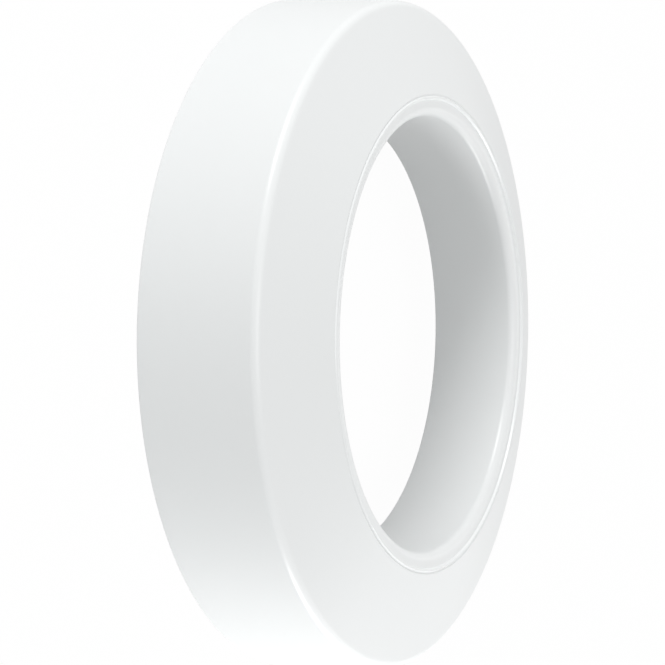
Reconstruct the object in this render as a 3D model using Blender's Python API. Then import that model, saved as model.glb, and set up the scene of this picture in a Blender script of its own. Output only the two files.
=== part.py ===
"""WC pan connector cover ring: the white collar pushed over a 110 mm soil pipe to hide the hole round it.

One plastic moulding, turned about +Z. Metres. The origin is the middle of the flat back rim, which lies
against the wall or floor; +Z points along the pipe, out of the front face.

The section is a closed belt round circles. Each circle is one rounded edge or one fillet of the
moulding, and the straight runs between them are the lines that touch both. It goes clockwise, with r to
the right and z up: out over the front face, down the skirt, and back along the hollow and the bore.
"""
import math

import bmesh
import bpy

# Skirt and front face
CREASE_D = 0.176          # widest point of the rounded crease, where the skirt meets the face
BACK_D = 0.180            # the skirt opens towards its back rim
SKIRT_H = 0.0284          # back rim to the middle of the crease's rounding
CREASE_ROUND = 0.0025
HEIGHT = 0.038            # back rim to the top of the fine bead round the hole
WALL = 0.002

# Fine groove, bead, step and land round the hole
FACE_DROP = 0.00028       # bead's top down to the face's inner edge
GROOVE_OUT = 0.00095      # from the bead's middle out to the middle of that edge's rounding
GROOVE_W = 0.00060        # from the bead's middle out to the middle of the groove
GROOVE_DEPTH = 0.00042    # bead's top down to the groove's bottom
GROOVE_ROUND = 0.00015    # the groove's bottom and the face's inner edge
BEAD_ROUND = 0.00035
STEP_RUN = 0.0006         # from the bead's middle in to the middle of the fillet at the step's foot
STEP_H = 0.00075          # bead's top down to the land
STEP_FILLET = 0.00015
LAND_W = 0.00235          # from the lip out to the bead's middle

# Bore and collar
BORE_D = 0.1152           # throat, which passes freely over the 110 mm pipe
LIP_ROUND = 0.0024
COLLAR_BACK_D = 0.1156    # the bore opens a little towards its back end, for the mould's core
COLLAR_UP = 0.0118        # the collar's back end stands this far clear of the back rim's plane
COLLAR_FILLET = 0.001
EDGE_ROUND = 0.0003       # the four thin edges at the back

TURN_STEPS = 72
SECTION_ERROR = 0.00003   # furthest that an arc's straight pieces run from the arc

BEAD_R = BORE_D / 2 + LIP_ROUND + LAND_W
LAND_Z = HEIGHT - STEP_H
PLASTIC_COLOUR = (0.82, 0.83, 0.83, 1.0)


def section_circles():
    """Centre (r, z) and radius of each circle, clockwise; a negative radius is a fillet."""
    crease = (CREASE_D / 2 - CREASE_ROUND, SKIRT_H)
    return [
        ((BEAD_R, HEIGHT - BEAD_ROUND), BEAD_ROUND),
        ((BEAD_R + GROOVE_W, HEIGHT - GROOVE_DEPTH + GROOVE_ROUND), -GROOVE_ROUND),
        ((BEAD_R + GROOVE_OUT, HEIGHT - FACE_DROP - GROOVE_ROUND), GROOVE_ROUND),
        (crease, CREASE_ROUND),
        ((BACK_D / 2 - EDGE_ROUND, EDGE_ROUND), EDGE_ROUND),
        ((BACK_D / 2 - WALL + EDGE_ROUND, EDGE_ROUND), EDGE_ROUND),
        (crease, WALL - CREASE_ROUND),
        ((BORE_D / 2 + WALL + COLLAR_FILLET, LAND_Z - WALL - COLLAR_FILLET), -COLLAR_FILLET),
        ((COLLAR_BACK_D / 2 + WALL - EDGE_ROUND, COLLAR_UP + EDGE_ROUND), EDGE_ROUND),
        ((COLLAR_BACK_D / 2 + EDGE_ROUND, COLLAR_UP + EDGE_ROUND), EDGE_ROUND),
        ((BORE_D / 2 + LIP_ROUND, LAND_Z - LIP_ROUND), LIP_ROUND),
        ((BEAD_R - STEP_RUN, LAND_Z + STEP_FILLET), -STEP_FILLET),
    ]


def tangent_normal(a, b):
    """Angle of the outward normal of the line that leaves circle a and touches circle b."""
    (ar, az), a_radius = a
    (br, bz), b_radius = b
    gap = math.hypot(br - ar, bz - az)
    return math.atan2(bz - az, br - ar) + math.acos((a_radius - b_radius) / gap)


def arc(circle, start, end):
    """Points on the circle from one normal to the next, close enough together for SECTION_ERROR."""
    (r, z), radius = circle
    if radius > 0:
        turn = -((start - end) % math.tau)
    else:
        turn = (end - start) % math.tau
    step = 2 * math.acos(max(1 - SECTION_ERROR / abs(radius), 0.0))
    count = max(1, math.ceil(abs(turn) / step))
    angles = [start + turn * i / count for i in range(count + 1)]
    return [(r + radius * math.cos(a), z + radius * math.sin(a)) for a in angles]


def section_points():
    circles = section_circles()
    after = circles[1:] + circles[:1]
    leaving = [tangent_normal(a, b) for a, b in zip(circles, after)]
    arriving = leaving[-1:] + leaving[:-1]
    points = []
    for circle, start, end in zip(circles, arriving, leaving):
        points += arc(circle, start, end)
    return points


def turned_ring(name, points):
    """The section turned a whole circle about Z, with its faces pointing out."""
    bm = bmesh.new()
    verts = [bm.verts.new((r, 0.0, z)) for r, z in points]
    edges = [bm.edges.new(pair) for pair in zip(verts, verts[1:] + verts[:1])]
    bmesh.ops.spin(bm, geom=verts + edges, cent=(0, 0, 0), axis=(0, 0, 1), dvec=(0, 0, 0),
                   angle=math.tau, steps=TURN_STEPS, use_merge=True)
    bmesh.ops.recalc_face_normals(bm, faces=bm.faces)
    mesh = bpy.data.meshes.new(name)
    bm.to_mesh(mesh)
    bm.free()
    mesh.shade_smooth()
    mesh.set_sharp_from_angle(angle=math.radians(40))
    ring = bpy.data.objects.new(name, mesh)
    bpy.context.scene.collection.objects.link(ring)
    return ring


def gloss_plastic():
    material = bpy.data.materials.new("white_gloss_plastic")
    material.use_nodes = True
    shader = material.node_tree.nodes["Principled BSDF"]
    shader.inputs["Base Color"].default_value = PLASTIC_COLOUR
    shader.inputs["Roughness"].default_value = 0.2
    shader.inputs["Metallic"].default_value = 0.0
    return material


def main():
    for thing in list(bpy.context.scene.objects):
        bpy.data.objects.remove(thing)
    ring = turned_ring("cover_ring", section_points())
    ring.data.materials.append(gloss_plastic())


main()
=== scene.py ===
"""Looks of a WC pan connector's cover ring: one white plastic moulding, its floor, light and camera.

The ring lies on its flat back rim, as it comes to rest, and +Z is the axis of the soil pipe that it slides
over. Sizes are in metres. The camera looks down on the ring and is rolled, so that the ring stands in the
picture with its axis level.
"""
import math

import bpy
from bpy.props import FloatProperty, FloatVectorProperty, IntProperty, PointerProperty
from mathutils import Matrix, Vector


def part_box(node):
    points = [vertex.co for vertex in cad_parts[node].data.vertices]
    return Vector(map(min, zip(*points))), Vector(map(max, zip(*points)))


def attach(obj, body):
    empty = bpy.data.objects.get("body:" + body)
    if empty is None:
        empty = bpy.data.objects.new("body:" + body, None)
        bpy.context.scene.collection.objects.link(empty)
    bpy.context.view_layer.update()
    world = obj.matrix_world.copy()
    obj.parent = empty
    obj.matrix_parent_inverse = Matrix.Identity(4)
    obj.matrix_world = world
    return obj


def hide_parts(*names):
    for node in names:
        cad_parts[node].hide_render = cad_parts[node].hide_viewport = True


bl_info = {
    "name": "Pan Connector Cover Ring",
    "version": (1, 0, 0),
    "blender": (4, 5, 0),
    "location": "View3D > Sidebar > Cover Ring",
    "description": "Turns the cover ring of a WC pan connector and sets up its stage",
    "category": "Add Mesh",
}

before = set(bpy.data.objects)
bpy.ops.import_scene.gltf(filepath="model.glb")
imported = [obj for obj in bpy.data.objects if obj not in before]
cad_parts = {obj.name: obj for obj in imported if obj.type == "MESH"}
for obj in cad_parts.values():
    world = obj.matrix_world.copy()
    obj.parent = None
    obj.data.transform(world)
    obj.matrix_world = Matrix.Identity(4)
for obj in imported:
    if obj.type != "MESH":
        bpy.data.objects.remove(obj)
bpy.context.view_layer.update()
RING_LOW, RING_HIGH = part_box("cover_ring")

MM = 0.001

# Fineness of the turned surface
ARC_STEP = math.radians(6)        # turn of the normal between two points of a rounded edge
STRAIGHT_STEP = 3.0 * MM          # furthest apart that two points of a straight run are
TANGENT_STRIP = 0.12 * MM         # narrow strip at each end of a straight run, which keeps its shading flat

# Camera, about the point it aims at on the ring's axis
AIM_HEIGHT = 6.0 * MM
CAMERA_AZIMUTH = math.radians(0.435)
CAMERA_ELEVATION = math.radians(26.255)
CAMERA_ROLL = math.radians(90.984)
CAMERA_LENS = 100.0               # millimetres, as the sensor's width is
SENSOR_WIDTH = 36.0
NEAREST_SEEN = 10.0 * MM


def linear_rgb(hex_code):
    """Linear red, green and blue of an sRGB hex value such as "F0F2F1"."""
    def linear(value):
        return value / 12.92 if value <= 0.04045 else ((value + 0.055) / 1.055) ** 2.4
    return tuple(linear(int(hex_code[i:i + 2], 16) / 255) for i in (0, 2, 4))


class CoverRingSizes(bpy.types.PropertyGroup):
    """Sizes of the ring's section, which is turned about the pipe's axis."""
    crease_d: FloatProperty(
        name="Crease diameter", description="Widest point of the rounded crease between skirt and face",
        default=176.0 * MM, unit="LENGTH")
    back_d: FloatProperty(
        name="Back diameter", description="Outer diameter of the flat back rim",
        default=RING_HIGH.x * 2, unit="LENGTH")
    skirt_h: FloatProperty(
        name="Skirt height", description="Back rim to the middle of the crease's rounding",
        default=28.4 * MM, unit="LENGTH")
    crease_round: FloatProperty(
        name="Crease rounding", description="Radius of the crease", default=2.5 * MM, unit="LENGTH")
    height: FloatProperty(
        name="Height", description="Back rim to the top of the bead round the hole",
        default=RING_HIGH.z, unit="LENGTH")
    wall: FloatProperty(
        name="Wall", description="Thickness of the moulded wall", default=2.0 * MM, unit="LENGTH")
    face_drop: FloatProperty(
        name="Face drop", description="Bead's top down to the face's inner edge",
        default=0.28 * MM, unit="LENGTH")
    groove_out: FloatProperty(
        name="Groove edge", description="Bead's middle out to the rounding of the face's inner edge",
        default=0.95 * MM, unit="LENGTH")
    groove_w: FloatProperty(
        name="Groove width", description="Bead's middle out to the middle of the groove",
        default=0.6 * MM, unit="LENGTH")
    groove_depth: FloatProperty(
        name="Groove depth", description="Bead's top down to the groove's bottom",
        default=0.42 * MM, unit="LENGTH")
    groove_round: FloatProperty(
        name="Groove rounding", description="Radius of the groove's bottom and of the face's inner edge",
        default=0.15 * MM, unit="LENGTH")
    bead_round: FloatProperty(
        name="Bead rounding", description="Radius of the bead", default=0.35 * MM, unit="LENGTH")
    step_run: FloatProperty(
        name="Step run", description="Bead's middle in to the middle of the fillet at the step's foot",
        default=0.6 * MM, unit="LENGTH")
    step_h: FloatProperty(
        name="Step height", description="Bead's top down to the land inside it",
        default=0.75 * MM, unit="LENGTH")
    step_fillet: FloatProperty(
        name="Step fillet", description="Radius at the step's foot",
        default=0.15 * MM, unit="LENGTH")
    land_w: FloatProperty(
        name="Land width", description="From the lip out to the bead's middle",
        default=2.35 * MM, unit="LENGTH")
    bore_d: FloatProperty(
        name="Bore diameter", description="Throat, which passes freely over the 110 mm pipe",
        default=115.2 * MM, unit="LENGTH")
    lip_round: FloatProperty(
        name="Lip rounding", description="Radius of the lip from the land into the bore",
        default=2.4 * MM, unit="LENGTH")
    collar_back_d: FloatProperty(
        name="Collar back diameter", description="Bore at the back end of the collar",
        default=115.6 * MM, unit="LENGTH")
    collar_up: FloatProperty(
        name="Collar clearance", description="Back end of the collar over the back rim's plane",
        default=11.8 * MM, unit="LENGTH")
    collar_fillet: FloatProperty(
        name="Collar fillet", description="Radius inside, between the face and the collar",
        default=1.0 * MM, unit="LENGTH")
    edge_round: FloatProperty(
        name="Edge rounding", description="Radius of the four thin edges at the back",
        default=0.3 * MM, unit="LENGTH")
    turn_steps: IntProperty(
        name="Turn steps", description="Steps of the turn, a multiple of four",
        default=320, min=32, max=720)


class GlossPlasticFinish(bpy.types.PropertyGroup):
    """Colour and surface of the moulded plastic."""
    colour: FloatVectorProperty(
        name="Plastic colour", description="White of the plastic", subtype="COLOR",
        default=linear_rgb("EEF0F0"), min=0.0, max=1.0)
    roughness: FloatProperty(
        name="Roughness", description="Roughness left by the mould's polish",
        default=0.31, min=0.0, max=1.0)


class StudioStage(bpy.types.PropertyGroup):
    """Floor, lamps and camera."""
    floor_colour: FloatVectorProperty(
        name="Floor colour", description="Colour of the plain floor", subtype="COLOR",
        default=linear_rgb("D2D3D3"), min=0.0, max=1.0)
    lamp_level: FloatProperty(
        name="Lamp level", description="Factor on the power of every lamp", default=1.0, min=0.0)
    fill: FloatProperty(
        name="Fill", description="Strength of the soft light from all round", default=0.6, min=0.0)
    camera_distance: FloatProperty(
        name="Camera distance", description="From the camera to the point it aims at",
        default=503.8 * MM, unit="LENGTH")


def add_node(tree, kind, inputs=None, **settings):
    """Adds a node, sets its properties, and fills or links its inputs by name or number."""
    node = tree.nodes.new(kind)
    for name, value in settings.items():
        setattr(node, name, value)
    for socket, value in (inputs or {}).items():
        if isinstance(value, bpy.types.NodeSocket):
            tree.links.new(value, node.inputs[socket])
        else:
            node.inputs[socket].default_value = value
    return node


# Section of the ring, as points (r, z): r is the distance from the pipe's axis

def section_circles(sizes):
    """Centre (r, z) and radius of each rounded edge, clockwise; a negative radius is a fillet."""
    bore_r = sizes.bore_d / 2
    lip_r = bore_r + sizes.lip_round
    bead_r = lip_r + sizes.land_w
    land_z = sizes.height - sizes.step_h
    crease = (sizes.crease_d / 2 - sizes.crease_round, sizes.skirt_h)
    back_r = sizes.back_d / 2
    collar_r = sizes.collar_back_d / 2
    wall = sizes.wall
    edge = sizes.edge_round
    groove = sizes.groove_round
    fillet = sizes.collar_fillet
    return [
        ((bead_r, sizes.height - sizes.bead_round), sizes.bead_round),
        ((bead_r + sizes.groove_w, sizes.height - sizes.groove_depth + groove), -groove),
        ((bead_r + sizes.groove_out, sizes.height - sizes.face_drop - groove), groove),
        (crease, sizes.crease_round),
        ((back_r - edge, edge), edge),
        ((back_r - wall + edge, edge), edge),
        (crease, wall - sizes.crease_round),
        ((bore_r + wall + fillet, land_z - wall - fillet), -fillet),
        ((collar_r + wall - edge, sizes.collar_up + edge), edge),
        ((collar_r + edge, sizes.collar_up + edge), edge),
        ((lip_r, land_z - sizes.lip_round), sizes.lip_round),
        ((bead_r - sizes.step_run, land_z + sizes.step_fillet), -sizes.step_fillet),
    ]


def tangent_normal(a, b):
    """Angle of the outward normal of the line that leaves circle a and touches circle b."""
    (ar, az), a_radius = a
    (br, bz), b_radius = b
    gap = math.hypot(br - ar, bz - az)
    return math.atan2(bz - az, br - ar) + math.acos((a_radius - b_radius) / gap)


def arc_points(circle, start, end):
    """Points round one edge, from its first normal to its last."""
    (r, z), radius = circle
    turn = -((start - end) % math.tau) if radius > 0 else (end - start) % math.tau
    count = max(2, math.ceil(abs(turn) / ARC_STEP))
    angles = [start + turn * i / count for i in range(count + 1)]
    return [Vector((r + radius * math.cos(a), z + radius * math.sin(a))) for a in angles]


def run_points(start, end):
    """Points between two edges: a narrow strip at each end, and even steps between them."""
    length = (end - start).length
    if length < 4 * TANGENT_STRIP:
        return []
    first = TANGENT_STRIP / length
    count = math.ceil((length - 2 * TANGENT_STRIP) / STRAIGHT_STEP)
    return [start.lerp(end, first + (1 - 2 * first) * i / count) for i in range(count + 1)]


def section_points(sizes):
    """The closed section as points (r, z)."""
    circles = section_circles(sizes)
    after = circles[1:] + circles[:1]
    leaving = [tangent_normal(a, b) for a, b in zip(circles, after)]
    arriving = leaving[-1:] + leaving[:-1]
    arcs = [arc_points(*edge) for edge in zip(circles, arriving, leaving)]
    points = []
    for arc, next_arc in zip(arcs, arcs[1:] + arcs[:1]):
        points += arc + run_points(arc[-1], next_arc[0])
    return points


# Turning the section

def turning_tree():
    """Node tree that turns a closed section, drawn in the XZ plane, about the Z axis."""
    tree = bpy.data.node_groups.new("turned_ring", "GeometryNodeTree")
    sockets = tree.interface
    sockets.new_socket("Section", in_out="INPUT", socket_type="NodeSocketGeometry")
    radius = sockets.new_socket("Turning radius", in_out="INPUT", socket_type="NodeSocketFloat")
    radius.subtype = "DISTANCE"
    sockets.new_socket("Turn steps", in_out="INPUT", socket_type="NodeSocketInt")
    sockets.new_socket("Plastic", in_out="INPUT", socket_type="NodeSocketMaterial")
    sockets.new_socket("Ring", in_out="OUTPUT", socket_type="NodeSocketGeometry")
    given = add_node(tree, "NodeGroupInput").outputs

    # The sweep lays a profile's X outwards and its Y down the axis: (r, 0, z) becomes (r - radius, -z, 0).
    place = add_node(tree, "GeometryNodeInputPosition")
    parts = add_node(tree, "ShaderNodeSeparateXYZ", {"Vector": place.outputs["Position"]})
    outwards = add_node(tree, "ShaderNodeMath", {0: parts.outputs["X"], 1: given["Turning radius"]},
                        operation="SUBTRACT")
    down = add_node(tree, "ShaderNodeMath", {0: 0.0, 1: parts.outputs["Z"]}, operation="SUBTRACT")
    laid = add_node(tree, "ShaderNodeCombineXYZ", {"X": outwards.outputs[0], "Y": down.outputs[0]})
    section = add_node(tree, "GeometryNodeSetPosition",
                       {"Geometry": given["Section"], "Position": laid.outputs[0]})
    profile = add_node(tree, "GeometryNodeMeshToCurve", {"Mesh": section.outputs[0]})
    circle = add_node(tree, "GeometryNodeCurvePrimitiveCircle",
                      {"Resolution": given["Turn steps"], "Radius": given["Turning radius"]})
    swept = add_node(tree, "GeometryNodeCurveToMesh",
                     {"Curve": circle.outputs["Curve"], "Profile Curve": profile.outputs[0]})
    smooth = add_node(tree, "GeometryNodeSetShadeSmooth", {"Geometry": swept.outputs[0]})
    real = add_node(tree, "GeometryNodeRealizeInstances", {"Geometry": smooth.outputs[0]})
    finished = add_node(tree, "GeometryNodeSetMaterial",
                        {"Geometry": real.outputs[0], "Material": given["Plastic"]})
    add_node(tree, "NodeGroupOutput", {"Ring": finished.outputs[0]})
    return tree


def set_inputs(modifier, values):
    """Sets a node modifier's inputs, found by name and set by identifier."""
    for item in modifier.node_group.interface.items_tree:
        if item.in_out == "INPUT" and item.name in values:
            modifier[item.identifier] = values[item.name]


def section_object(points):
    """Object holding the closed section as edges in the XZ plane."""
    mesh = bpy.data.meshes.new("ring_section")
    count = len(points)
    edges = [(i, (i + 1) % count) for i in range(count)]
    mesh.from_pydata([(p.x, 0.0, p.y) for p in points], edges, [])
    thing = bpy.data.objects.new("ring_section", mesh)
    bpy.context.scene.collection.objects.link(thing)
    return thing


def plain_mesh_object(name, source):
    """A new object with the mesh that source evaluates to; source is removed."""
    bpy.context.view_layer.update()
    evaluated = source.evaluated_get(bpy.context.evaluated_depsgraph_get())
    mesh = bpy.data.meshes.new_from_object(evaluated)
    mesh.name = name
    bpy.data.objects.remove(source)
    made = bpy.data.objects.new(name, mesh)
    bpy.context.scene.collection.objects.link(made)
    return made


# Material of the ring

PLASTIC_IOR = 1.49
SHRINK_WAVE = 14.0 * MM           # length of the waves left where the wall shrinks as it cools
SHRINK_HEIGHT = 0.012 * MM
PEEL_GRAIN = 0.9 * MM             # grain of the orange peel left by the mould's polish
PEEL_HEIGHT = 0.0008 * MM
DULL_FIELD = 40.0 * MM            # width of the soft fields in which the gloss differs
GLOSS_SPREAD = 0.02               # how far the roughness moves to either side of its value
NOISE_LOW = 0.3                   # the noise seldom runs below this, or above the next
NOISE_HIGH = 0.7


def moulded_polypropylene(finish):
    """White polypropylene, injection moulded in a polished mould: a bright, even, slightly soft gloss."""
    material = bpy.data.materials.new("moulded_white_polypropylene")
    material.use_nodes = True
    tree = material.node_tree
    tree.nodes.clear()
    place = add_node(tree, "ShaderNodeTexCoord").outputs["Object"]

    # The wall shrinks as it cools, which leaves long low waves that only bend a reflection.
    waves = add_node(tree, "ShaderNodeTexNoise",
                     {"Vector": place, "Scale": 1 / SHRINK_WAVE, "Detail": 2.0, "Roughness": 0.4})
    shrink = add_node(tree, "ShaderNodeBump",
                      {"Height": waves.outputs["Fac"], "Strength": 1.0, "Distance": SHRINK_HEIGHT})
    # The mould's polish leaves a fine orange peel, drawn coarser because the real one is too fine to show.
    peel = add_node(tree, "ShaderNodeTexNoise",
                    {"Vector": place, "Scale": 1 / PEEL_GRAIN, "Detail": 1.0, "Roughness": 0.5})
    skin = add_node(tree, "ShaderNodeBump",
                    {"Height": peel.outputs["Fac"], "Strength": 1.0, "Distance": PEEL_HEIGHT,
                     "Normal": shrink.outputs[0]})
    # Where the melt met the steel last, the gloss is a little duller, in wide soft fields.
    fields = add_node(tree, "ShaderNodeTexNoise", {"Vector": place, "Scale": 1 / DULL_FIELD, "Detail": 2.0})
    gloss = add_node(tree, "ShaderNodeMapRange",
                     {"Value": fields.outputs["Fac"], "From Min": NOISE_LOW, "From Max": NOISE_HIGH,
                      "To Min": finish.roughness - GLOSS_SPREAD, "To Max": finish.roughness + GLOSS_SPREAD})
    shader = add_node(tree, "ShaderNodeBsdfPrincipled",
                      {"Base Color": (*finish.colour, 1.0), "Roughness": gloss.outputs[0],
                       "Metallic": 0.0, "IOR": PLASTIC_IOR, "Normal": skin.outputs[0]})
    add_node(tree, "ShaderNodeOutputMaterial", {"Surface": shader.outputs[0]})
    return material


class AddCoverRing(bpy.types.Operator):
    """Turn the cover ring from its section"""
    bl_idname = "pan_connector.add_cover_ring"
    bl_label = "Add Cover Ring"

    def execute(self, context):
        sizes = context.scene.cover_ring_sizes
        plastic = moulded_polypropylene(context.scene.cover_ring_finish)
        section = section_object(section_points(sizes))
        turning = section.modifiers.new("turning", "NODES")
        turning.node_group = turning_tree()
        set_inputs(turning, {"Turning radius": sizes.bore_d / 2, "Turn steps": sizes.turn_steps,
                             "Plastic": plastic})
        ring = plain_mesh_object("moulded_ring", section)
        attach(ring, "root")
        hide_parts("cover_ring")
        return {"FINISHED"}


# Stage

WHITE = (1.0, 1.0, 1.0, 1.0)
FLOOR_HALF = 3.0                  # half the floor's side
FLOOR_DROP = 0.05 * MM            # keeps the floor clear of the back rim that lies on it
SEEN_WHITE_SHARE = 0.975          # share of the seen floor that is plain white and takes no shadow
MIRRORED_WHITE = 0.8              # strength of that white in the plastic's gloss

# Name; azimuth and elevation in degrees, and distance; width and height; watts
SOFTBOXES = (
    ("upper_side_softbox", (-60, 10.4, 1.2), (0.5, 0.3), 6.2),
    ("overhead_softbox", (0, 60, 1.2), (0.5, 0.5), 1.9),
    ("lower_side_softbox", (103, 5, 1.2), (0.9, 0.14), 5.6),
    ("far_side_softbox", (135, 30, 1.2), (0.5, 0.5), 0.85),
    ("back_softbox", (180, 30, 1.2), (0.5, 0.5), 0.67),
    ("low_strip", (85, 0.97, 0.5), (0.2, 0.028), 0.56),
)


def is_seen_ray(tree):
    """1 for camera, glossy and transmission rays, else 0."""
    path = add_node(tree, "ShaderNodeLightPath").outputs
    mirror = add_node(tree, "ShaderNodeMath", {0: path["Is Camera Ray"], 1: path["Is Glossy Ray"]},
                      operation="MAXIMUM")
    seen = add_node(tree, "ShaderNodeMath", {0: mirror.outputs[0], 1: path["Is Transmission Ray"]},
                    operation="MAXIMUM")
    return seen.outputs[0]


def floor_paper(colour):
    """Matt paper: it is seen as white with a faint soft shadow, and returns light as pale grey paper."""
    material = bpy.data.materials.new("matt_white_paper")
    material.use_nodes = True
    tree = material.node_tree
    tree.nodes.clear()
    paper = add_node(tree, "ShaderNodeBsdfDiffuse", {"Color": (*colour, 1.0)})
    shaded = add_node(tree, "ShaderNodeBsdfDiffuse", {"Color": WHITE})
    # A mirrored floor is a little darker than white, which keeps the far side of the ring's face grey.
    path = add_node(tree, "ShaderNodeLightPath").outputs
    level = add_node(tree, "ShaderNodeMapRange",
                     {"Value": path["Is Glossy Ray"], "To Min": 1.0, "To Max": MIRRORED_WHITE})
    white = add_node(tree, "ShaderNodeEmission", {"Color": WHITE, "Strength": level.outputs[0]})
    seen = add_node(tree, "ShaderNodeMixShader",
                    {0: SEEN_WHITE_SHARE, 1: shaded.outputs[0], 2: white.outputs[0]})
    look = add_node(tree, "ShaderNodeMixShader",
                    {0: is_seen_ray(tree), 1: paper.outputs[0], 2: seen.outputs[0]})
    add_node(tree, "ShaderNodeOutputMaterial", {"Surface": look.outputs[0]})
    return material


def add_floor(colour):
    """Plain square floor just under the ring's back rim."""
    mesh = bpy.data.meshes.new("floor")
    half = FLOOR_HALF
    z = RING_LOW.z - FLOOR_DROP
    mesh.from_pydata([(-half, -half, z), (half, -half, z), (half, half, z), (-half, half, z)],
                     [], [(0, 1, 2, 3)])
    mesh.materials.append(floor_paper(colour))
    floor = bpy.data.objects.new("floor", mesh)
    bpy.context.scene.collection.objects.link(floor)


def set_world(strength):
    """White where the world is seen or mirrored, and a soft fill elsewhere."""
    world = bpy.data.worlds.new("studio")
    world.use_nodes = True
    tree = world.node_tree
    tree.nodes.clear()
    fill = add_node(tree, "ShaderNodeBackground", {"Color": WHITE, "Strength": strength})
    white = add_node(tree, "ShaderNodeBackground", {"Color": WHITE, "Strength": 1.0})
    look = add_node(tree, "ShaderNodeMixShader",
                    {0: is_seen_ray(tree), 1: fill.outputs[0], 2: white.outputs[0]})
    add_node(tree, "ShaderNodeOutputWorld", {"Surface": look.outputs[0]})
    bpy.context.scene.world = world


def around_aim(azimuth, elevation, distance):
    """Place at a distance from the aim point; azimuth 0 is the camera's side, -Y, and 90 degrees +X."""
    flat = math.cos(elevation) * distance
    return Vector((math.sin(azimuth) * flat, -math.cos(azimuth) * flat,
                   AIM_HEIGHT + math.sin(elevation) * distance))


def aimed_from(place, roll=0.0):
    """Matrix that stands a lamp or camera at a place, looking at the aim point, and rolls it."""
    direction = Vector((0, 0, AIM_HEIGHT)) - place
    look = direction.to_track_quat("-Z", "Y").to_matrix().to_4x4()
    return Matrix.Translation(place) @ look @ Matrix.Rotation(roll, 4, "Z")


def add_softbox(name, place, size, power):
    """Rectangular softbox that points at the ring; power is in watts."""
    azimuth, elevation, distance = place
    light = bpy.data.lights.new(name, "AREA")
    light.shape = "RECTANGLE"
    light.size, light.size_y = size
    light.energy = power
    box = bpy.data.objects.new(name, light)
    box.matrix_world = aimed_from(around_aim(math.radians(azimuth), math.radians(elevation), distance))
    box.visible_camera = False
    bpy.context.scene.collection.objects.link(box)


def add_camera(distance):
    """Camera that looks down on the ring, rolled so that the ring's axis lies level in the picture."""
    data = bpy.data.cameras.new("camera")
    data.sensor_fit = "HORIZONTAL"
    data.sensor_width = SENSOR_WIDTH
    data.lens = CAMERA_LENS
    data.clip_start = NEAREST_SEEN
    camera = bpy.data.objects.new("camera", data)
    place = around_aim(-CAMERA_AZIMUTH, CAMERA_ELEVATION, distance)
    camera.matrix_world = aimed_from(place, CAMERA_ROLL)
    bpy.context.scene.collection.objects.link(camera)
    bpy.context.scene.camera = camera


class AddStage(bpy.types.Operator):
    """Add the floor, the world, the softboxes and the camera"""
    bl_idname = "pan_connector.add_stage"
    bl_label = "Add Stage"

    def execute(self, context):
        stage = context.scene.cover_ring_stage
        add_floor(stage.floor_colour)
        set_world(stage.fill)
        for name, place, size, power in SOFTBOXES:
            add_softbox(name, place, size, power * stage.lamp_level)
        add_camera(stage.camera_distance)
        context.scene.view_settings.view_transform = "Standard"
        return {"FINISHED"}


def draw_group(layout, group):
    """Shows every value of a property group."""
    for name in group.bl_rna.properties.keys():
        if name not in ("rna_type", "name"):
            layout.prop(group, name)


class CoverRingPanel(bpy.types.Panel):
    """Sizes, finish and stage of the cover ring"""
    bl_idname = "VIEW3D_PT_cover_ring"
    bl_label = "Pan Connector Cover Ring"
    bl_space_type = "VIEW_3D"
    bl_region_type = "UI"
    bl_category = "Cover Ring"

    def draw(self, context):
        scene = context.scene
        draw_group(self.layout, scene.cover_ring_sizes)
        draw_group(self.layout, scene.cover_ring_finish)
        self.layout.operator(AddCoverRing.bl_idname)
        draw_group(self.layout, scene.cover_ring_stage)
        self.layout.operator(AddStage.bl_idname)


GROUPS = {"cover_ring_sizes": CoverRingSizes, "cover_ring_finish": GlossPlasticFinish,
          "cover_ring_stage": StudioStage}
CLASSES = (*GROUPS.values(), AddCoverRing, AddStage, CoverRingPanel)


def register():
    for kind in CLASSES:
        bpy.utils.register_class(kind)
    for name, kind in GROUPS.items():
        setattr(bpy.types.Scene, name, PointerProperty(type=kind))


def unregister():
    for name in GROUPS:
        delattr(bpy.types.Scene, name)
    for kind in reversed(CLASSES):
        bpy.utils.unregister_class(kind)


def main():
    register()
    bpy.ops.pan_connector.add_cover_ring()
    bpy.ops.pan_connector.add_stage()


if __name__ == "__main__":
    main()
